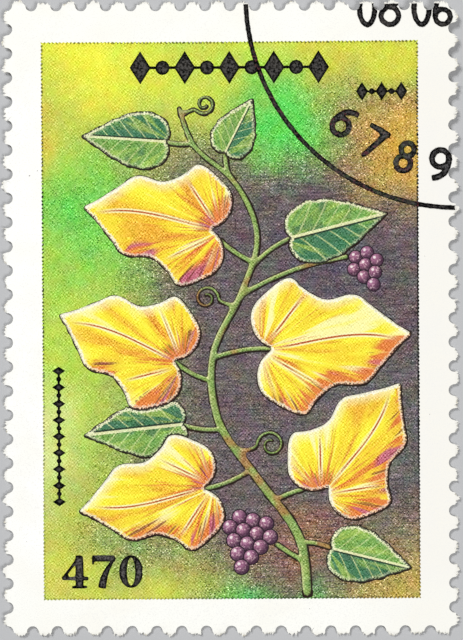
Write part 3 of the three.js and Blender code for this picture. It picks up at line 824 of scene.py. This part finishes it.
def make_berry(name):
    """Dusky plum berries with a pale bloom, a bright spot and a near-black edge."""
    material, tree = start_material(name)
    on_berry = tree.nodes.new("ShaderNodeUVMap").outputs[0]
    from_middle = vectors(tree, "MULTIPLY_ADD", on_berry, (2, 2, 0), (-1, -1, 0))
    from_glint = vectors(tree, "LENGTH", vectors(tree, "ADD", from_middle, (0.34, -0.38, 0)))
    specks = patches(tree, on_picture(tree), 0.14, 2)
    color = layered(
        tree, tone(74, 44, 66),
        ((168, 112, 142), (from_glint, 1.2, 0.2)),
        ((232, 196, 204), (specks, 0.54, 0.66, 0, 0.75), (from_glint, 1.4, 0.4)),
        ((250, 238, 236), (from_glint, 0.26, 0.12, 0, 0.9)),
        ((34, 22, 32), (vectors(tree, "LENGTH", from_middle), 0.80, 0.92)))
    return finish_picture(material, color, 0.12, 0.4, 0.05, roughness=0.45, gloss=0.2)


def make_outline_ink(name):
    """Near-black ink with brown patches, for the lines round the drawn shapes."""
    material, tree = start_material(name)
    color = mixed(tree, patches(tree, on_picture(tree), 0.5, 2), tone(18, 13, 8), tone(50, 35, 26))
    return finish_surface(material, color, roughness=0.5, gloss=0.12, bump=0.2)


def tint_on_picture(tree, color):
    """Lets the picture's colours through in spots, where the sheet under the ink is printed."""
    flat = on_picture(tree)
    sides = parts(tree, flat)
    masks = [(patches(tree, flat, 0.16, 2), 0.50, 0.62, 0, 0.5)]
    for side, half in ((sides[0], PICTURE_WIDTH / 2), (sides[1], PICTURE_HEIGHT / 2)):
        masks.append((maths(tree, "ABSOLUTE", side), half + 0.05, half - 0.05))
    patch = rise(tree, patches(tree, flat, 0.7, 2), 0.42, 0.58)
    tint = mixed(tree, patch, tone(118, 66, 74), tone(84, 98, 66))
    return mixed(tree, where(tree, *masks), color, tint)


def make_solid_ink(name, rim, inside, thin, pinholes, thin_patches, tinted=False):
    """A dark ink, squeezed thicker at its rim, mottled inside, with pinholes and thinner patches."""
    material, tree = start_material(name)
    wear = use(tree, INK_WEAR, Pinholes=pinholes, Thin_Patches=thin_patches)
    color = layered(
        tree, mixed(tree, wear["Mottle"], tone(*inside[0]), tone(*inside[1])),
        (rim, (marked(tree, "from_edge"), 0.20, 0.05)),
        (thin, wear["Thin"]))
    if tinted:
        color = tint_on_picture(tree, color)
    torn = use(tree, TORN_LINE, Start=0.02, End=0.09)["Torn"]
    color = layered(tree, color, ((240, 238, 230), torn))
    return finish_surface(material, color, roughness=0.5, gloss=0.03, bump=0.25)


paper = make_paper("stamp_paper")
gum = make_gum("gum")
ground_ink = make_ground("ground_ink")
stem_ink = make_stem("stem_ink")
berry_ink = make_berry("berry_ink")
outline_ink = make_outline_ink("outline_ink")
black_ink = make_solid_ink("black_ink", rim=(4, 3, 4), inside=((10, 9, 9), (94, 91, 90)),
                           thin=(104, 98, 90), pinholes=0.5, thin_patches=0.20)
ornament_ink = make_solid_ink("ornament_ink", rim=(2, 2, 2), inside=((0, 0, 0), (78, 76, 74)),
                              thin=(92, 88, 80), pinholes=0.45, thin_patches=0.15)
postmark_ink = make_solid_ink("postmark_ink", rim=(3, 3, 4), inside=((2, 2, 3), (90, 89, 90)),
                              thin=(112, 106, 100), pinholes=0.45, thin_patches=0.20, tinted=True)


# ---- perforated sheet ----
HOLE_WANDER = 0.012
TIP_WANDER = 0.12
TIP_FRAY = 0.20
TIP_FLARE = 0.10            # a hole is about this much wider on each side at the torn line
TIP_ROUNDING = 0.09
TORN_BAND = 0.14            # how far past the holes' middles a tip is torn in full
LAYER_NOISE = 30            # how fast the tear changes through the sheet, a millimetre


def nearest_hole(x, y):
    """The middle of the perforation nearest to a place on the sheet's edge."""
    column = round((x + HALF_WIDTH) / PITCH_ACROSS)
    row = round((y + HALF_HEIGHT) / PITCH_DOWN)
    on_row = Vector((column * PITCH_ACROSS - HALF_WIDTH, math.copysign(HALF_HEIGHT, y)))
    on_column = Vector((math.copysign(HALF_WIDTH, x), row * PITCH_DOWN - HALF_HEIGHT))
    here = Vector((x, y))
    return min(on_row, on_column, key=lambda hole: (hole - here).length)


def outward_side(x, y):
    """The way out of the sheet across its nearest edge."""
    if abs(x) / HALF_WIDTH > abs(y) / HALF_HEIGHT:
        return Vector((math.copysign(1, x), 0))
    return Vector((0, math.copysign(1, y)))


def tear_edge(bm):
    """Rounds the holes and frays the torn tips of the teeth. Gives the tips' points."""
    middle = sum(vert.co.z for vert in bm.verts) / len(bm.verts) / MM
    tips = []
    for vert in bm.verts:
        x, y, z = (value / MM for value in vert.co)
        hole = nearest_hole(x, y)
        from_hole = Vector((x, y)) - hole
        layer = (z - middle) * LAYER_NOISE
        outward = outward_side(x, y)
        sideways = Vector((-outward.y, outward.x))
        past, along = from_hole.dot(outward), from_hole.dot(sideways)
        if from_hole.length < HOLE_RADIUS * 1.03:
            wander = HOLE_WANDER * noise.noise((x * 6, y * 6, layer))
            from_hole = from_hole.normalized() * (HOLE_RADIUS + wander)
            past, along = from_hole.dot(outward), from_hole.dot(sideways)
        torn = smooth(0, TORN_BAND, past)
        near_hole = 1 - smooth(HOLE_RADIUS * 0.9, HOLE_RADIUS * 2, abs(along))
        side = math.copysign(1, along)
        chance = noise.noise((hole.x * 3.7 + side * 9, hole.y * 3.7, 4.4))
        flare = TIP_FLARE * max(0.1, 1 + 2.2 * chance)
        along += side * flare * smooth(0.0, 0.18, past) * near_hole
        wander = noise.noise((x * 1.7, y * 1.7, 3.1))
        fray = noise.noise((x * 6, y * 6, layer)) + 0.8 * noise.noise((x * 14, y * 14, layer))
        past += torn * (TIP_WANDER * wander + TIP_FRAY * fray - TIP_ROUNDING * near_hole)
        moved = hole + outward * past + sideways * along
        if torn > 0.8:
            tips.append(Vector((moved.x, moved.y, z)))
        vert.co.x, vert.co.y = moved.x * MM, moved.y * MM
    return tips


def perforated_film(node, cuts, rings):
    """A copy of the sheet or the gum, torn and curled, and the points of its torn tips."""
    bm = merged_copy(node)
    bmesh.ops.subdivide_edges(bm, edges=rims(bm), cuts=cuts)
    upright = [edge for edge in bm.edges if abs(edge.verts[0].co.z - edge.verts[1].co.z) > WELD]
    if rings:
        bmesh.ops.subdivide_edges(bm, edges=upright, cuts=rings)
    tips = tear_edge(bm)
    cut_by_grid(bm, BEND_STEP)
    follow_curl(bm)
    return bm, tips


FIBRES = 900
FIBRE_LENGTHS = (0.07, 0.24)
FIBRE_RADII = (0.007, 0.014)
FIBRE_POINT = 0.002         # a fibre's radius at its thin end
FIBRE_FAN = 0.7             # radians; how far fibres point away from straight out
FIBRE_LEAN = 0.15           # radians; and up or down
STANDS_OUT = 0.3            # how much of its length a fibre's middle stands off the tip
SPECK_FLATNESS = 0.004      # half a margin speck's thickness
# Place, length and turn in radians of each dark speck in the margins.
MARGIN_SPECKS = (
    (-13.34, 9.50, 0.060, 0.4), (-12.81, 9.83, 0.045, 2.0), (13.2, -6.4, 0.035, 1.1),
    (5.2, -19.3, 0.035, 2.6), (-13.6, -14.8, 0.030, 0.2), (12.9, 4.1, 0.028, 1.7),
)


def add_fibres(tips):
    """Loose paper fibres that stand out of the torn tips."""
    draw = random.Random(11)
    bm = bmesh.new()
    for _ in range(FIBRES):
        tip = draw.choice(tips)
        out = outward_side(tip.x, tip.y)
        turn = math.atan2(out.y, out.x) + draw.gauss(0, FIBRE_FAN)
        length = draw.uniform(*FIBRE_LENGTHS)
        depth = draw.uniform(0.02, PAPER_TOP - 0.01) + lift(tip.x, tip.y)
        way = Vector((math.cos(turn), math.sin(turn), 0))
        place = Vector((tip.x, tip.y, depth)) + STANDS_OUT * length * way
        lean = Matrix.Rotation(math.pi / 2 + draw.gauss(0, FIBRE_LEAN), 4, "Y")
        lying = Matrix.Translation(place * MM) @ Matrix.Rotation(turn, 4, "Z") @ lean
        bmesh.ops.create_cone(
            bm, cap_ends=True, segments=3, radius1=draw.uniform(*FIBRE_RADII) * MM,
            radius2=FIBRE_POINT * MM, depth=length * MM, matrix=lying)
    finished(bm, "tooth_fibres", paper)


def add_specks():
    """A few dark fibres caught in the paper's face."""
    bm = bmesh.new()
    for x, y, size, turn in MARGIN_SPECKS:
        place = Matrix.Translation(Vector((x, y, PAPER_TOP + lift(x, y))) * MM)
        shape = Matrix.Diagonal((size * MM, 0.5 * size * MM, SPECK_FLATNESS * MM, 1))
        lying = place @ Matrix.Rotation(turn, 4, "Z") @ shape
        bmesh.ops.create_icosphere(bm, subdivisions=1, radius=1, matrix=lying)
    finished(bm, "paper_specks", outline_ink)


sheet, torn_tips = perforated_film("paper_sheet", cuts=4, rings=1)
finished(sheet, "perforated_paper", paper, ["paper_sheet"])
gum_back, _ = perforated_film("gum_film", cuts=3, rings=0)
finished(gum_back, "dried_gum", gum, ["gum_film"])
add_fibres(torn_tips)
add_specks()


# ---- printed films ----
LEAF_RIM = 0.08             # a row of points lies this far inside a leaf's outline
STEM_RIM = 0.05             # and inside the stem's
LEAF_BLEED = 0.008          # about how far a leaf's ink bled out or shrank back
PRINT_BLEED = 0.010         # and the black print's
STRUCK_BLEED = 0.022        # and the postmark's
LEAF_ROUNDS = 9             # times that a leaf's outline is smoothed


def printed_film(node, cuts, rounds, step, inset=0.0, spread=0.0, bleed=0.0, rounded=False):
    """A copy of a film with a smooth outline, spread or bled a little, and marked from its edges."""
    bm = merged_copy(node)
    if spread:
        for vert, out in outward_ways(bm).items():
            vert.co += out * spread * MM
    round_outline(bm, cuts, rounds)
    if bleed:
        roughen_outline(bm, bleed)
    if inset:
        tops = [face for face in bm.faces if face.normal.z > 0.5]
        bmesh.ops.inset_region(bm, faces=tops, thickness=inset * MM, use_boundary=True)
    cut_by_grid(bm, step)
    bm.normal_update()
    mark_edges(bm, rounded)
    follow_curl(bm)
    return bm


def map_leaf(bm, base, length, angle):
    """Gives a leaf its own map: U from base to tip, V across it, in leaf lengths."""
    layer = bm.loops.layers.uv.new("UVMap")
    unturn = Matrix.Rotation(math.radians(-angle), 4, "Z")
    for face in bm.faces:
        for loop in face.loops:
            place = unturn @ (TO_PICTURE @ (loop.vert.co / MM) - Vector((*base, 0)))
            loop[layer].uv = (place.x / length, 0.5 + place.y / length)


BEAD_REACH = 0.032          # how far the picture's outermost dots stand out
CUTS_PER_BEAD = 6


def ground_film():
    """The picture's ground, its outline beaded by the last row of screen dots."""
    bm = merged_copy("picture_ground")
    for length in (PICTURE_WIDTH, PICTURE_HEIGHT):
        edges = [edge for edge in rims(bm) if abs(edge.calc_length() / MM - length) < 0.1]
        cuts = round(length / BEAD_PITCH * CUTS_PER_BEAD)
        bmesh.ops.subdivide_edges(bm, edges=edges, cuts=cuts)
    bm.normal_update()
    inner = [edge for edge in bm.edges if not any(is_side(face) for face in edge.link_faces)]
    bmesh.ops.dissolve_edges(bm, edges=inner)
    for vert in bm.verts:
        place = TO_PICTURE @ (vert.co / MM)
        if PICTURE_HEIGHT / 2 - abs(place.y) < PICTURE_WIDTH / 2 - abs(place.x):
            along, out = place.x, Vector((0, math.copysign(1, place.y), 0))
        else:
            along, out = place.y, Vector((math.copysign(1, place.x), 0, 0))
        bead = math.cos(2 * math.pi * along / BEAD_PITCH)
        bead += 0.5 * noise.noise((place.x * 2, place.y * 2, 7.7))
        vert.co += PICTURE.to_3x3() @ out * bead * BEAD_REACH * MM
    bm.normal_update()
    cut_by_grid(bm, BEND_STEP)
    follow_curl(bm)
    return bm


finished(ground_film(), "picture_ground_print", ground_ink, ["picture_ground"])
for number, (node, (base, length, angle)) in enumerate(LEAVES.items()):
    kind = node.split("_")[0]
    make = {"golden": make_golden, "green": make_green}[kind]
    film = printed_film(node, 2, LEAF_ROUNDS, FINE_STEP, inset=LEAF_RIM, bleed=LEAF_BLEED)
    map_leaf(film, base, length, angle)
    finished(film, node + "_print", make(f"{kind}_ink_{number}", number), [node])

stem_film = printed_film("vine_stem", 1, 3, STROKE_STEP, inset=STEM_RIM, rounded=True)
finished(stem_film, "vine_stem_print", stem_ink, ["vine_stem"])

OUTLINE_WIDTH = 0.07
OUTLINE_DROP = 0.003        # how far its top lies under the shape's


def outline_film(node, rounds):
    """A dark line round a drawn shape, wider on its shaded side: a film just under the shape."""
    bm = merged_copy(node)
    round_outline(bm, 2, rounds)
    middle = (GROUND_TOP + PICTURE_TOP) / 2
    for vert, out in outward_ways(bm).items():
        uneven = noise.noise(vert.co / MM * 3) + 0.7 * noise.noise(vert.co / MM * 9)
        width = OUTLINE_WIDTH * (0.95 - 0.6 * out.xy.dot(LIT_FROM) + 0.8 * uneven)
        vert.co += out * width * MM
    for vert in bm.verts:
        if vert.co.z > middle * MM:
            vert.co.z = (PICTURE_TOP - OUTLINE_DROP) * MM
    cut_by_grid(bm, BEND_STEP)
    follow_curl(bm)
    return bm


for node in LEAVES:
    finished(outline_film(node, LEAF_ROUNDS), node + "_outline", outline_ink)
finished(outline_film("vine_stem", 2), "vine_stem_outline", outline_ink)


def berry_places(top, angle, berry, rows):
    """The middle of each berry in a bunch, on the picture."""
    step = BERRY_SPACING * berry
    turn = Matrix.Rotation(math.radians(angle), 2)
    for row, count in enumerate(rows):
        for i in range(count):
            place = Vector((row * step * math.sin(math.pi / 3), (i - (count - 1) / 2) * step))
            yield turn @ place + Vector(top)


BERRY_SIDES = 24
BERRY_OVERLAP = 0.0012      # how much higher each berry lies than the one before


def berry_film(bunch):
    """One thin round film for each berry, each a little over the one before."""
    bm = bmesh.new()
    layer = bm.loops.layers.uv.new("UVMap")
    radius = bunch["berry"]
    for i, place in enumerate(berry_places(**bunch)):
        made = bmesh.ops.create_circle(bm, cap_ends=True, segments=BERRY_SIDES, radius=radius * MM)
        disc = made["verts"][0].link_faces[0]
        for loop in disc.loops:
            x, y = loop.vert.co.xy / MM / radius / 2
            loop[layer].uv = (0.5 + x, 0.5 + y)
        walls = bmesh.ops.extrude_face_region(bm, geom=[disc])
        top = [item for item in walls["geom"] if isinstance(item, bmesh.types.BMVert)]
        height = PICTURE_TOP - GROUND_TOP + BERRY_OVERLAP * i
        bmesh.ops.translate(bm, verts=top, vec=(0, 0, height * MM))
        spot = PICTURE @ Vector((*place, 0)) + Vector((0, 0, GROUND_TOP))
        bmesh.ops.translate(bm, verts=made["verts"] + top, vec=spot * MM)
    follow_curl(bm)
    return bm


for node, bunch in BUNCHES.items():
    finished(berry_film(bunch), node + "_print", berry_ink, [node])

# How far the struck ink was squeezed out past each mark's outline.
SQUEEZED = {"ring": -0.012, "date": 0.012, "six": 0.036, "seven": 0.036, "eight": 0.036, "nine": 0.036}
LINE_GAIN = 0.035           # and the fine line of ornaments past its own

for part in frame["record"]["subparts"]:
    node, slot = part["node"], part["material_slot"]
    if slot == "black_ink":
        ornament = "ornament" in node
        gain = LINE_GAIN if node == "side_ornament_line" else 0
        rounds = 0 if ornament else 1
        film = printed_film(node, 2, rounds, STROKE_STEP, spread=gain, bleed=PRINT_BLEED)
        finished(film, node + "_print", ornament_ink if ornament else black_ink, [node])
    if slot == "postmark_ink":
        gain = SQUEEZED[node.split("_")[1]]
        film = printed_film(node, 3, 2, STROKE_STEP, spread=gain, bleed=STRUCK_BLEED)
        finished(film, node + "_print", postmark_ink, [node])

# ---- table, lights and camera ----
table_top, table_tree = start_material("table_top")
table_shader = table_tree.nodes["Principled BSDF"].inputs
table_shader["Base Color"].default_value = TABLE_COLOR
table_shader["Roughness"].default_value = TABLE_ROUGHNESS
table_plane = bmesh.new()
bmesh.ops.create_grid(table_plane, x_segments=1, y_segments=1, size=1)
table = new_object("table", mesh_from(table_plane, "table", table_top))

camera = new_object("camera", bpy.data.cameras.new("camera"))
camera.data.lens = LENS
camera.data.sensor_width = LONG_SENSOR
camera.data.clip_start = NEAREST_SEEN
distance = VIEW_HEIGHT * LENS / LONG_SENSOR
camera.location = Vector((*VIEW_CENTRE, distance)) * MM
camera.rotation_euler = (0, 0, VIEW_TURN)
bpy.context.scene.camera = camera
bpy.context.scene.view_settings.view_transform = "Standard"

for name, (place, size, power) in SOFTBOXES.items():
    light = new_object(name, bpy.data.lights.new(name, "AREA"))
    light.data.size = size
    light.data.energy = power
    light.location = place
    light.rotation_euler = Vector(place).to_track_quat("Z", "Y").to_euler()

world = bpy.data.worlds.new("studio")
world.use_nodes = True
glow = world.node_tree.nodes["Background"].inputs
glow["Color"].default_value = (1, 1, 1, 1)
glow["Strength"].default_value = STUDIO_GLOW
bpy.context.scene.world = world
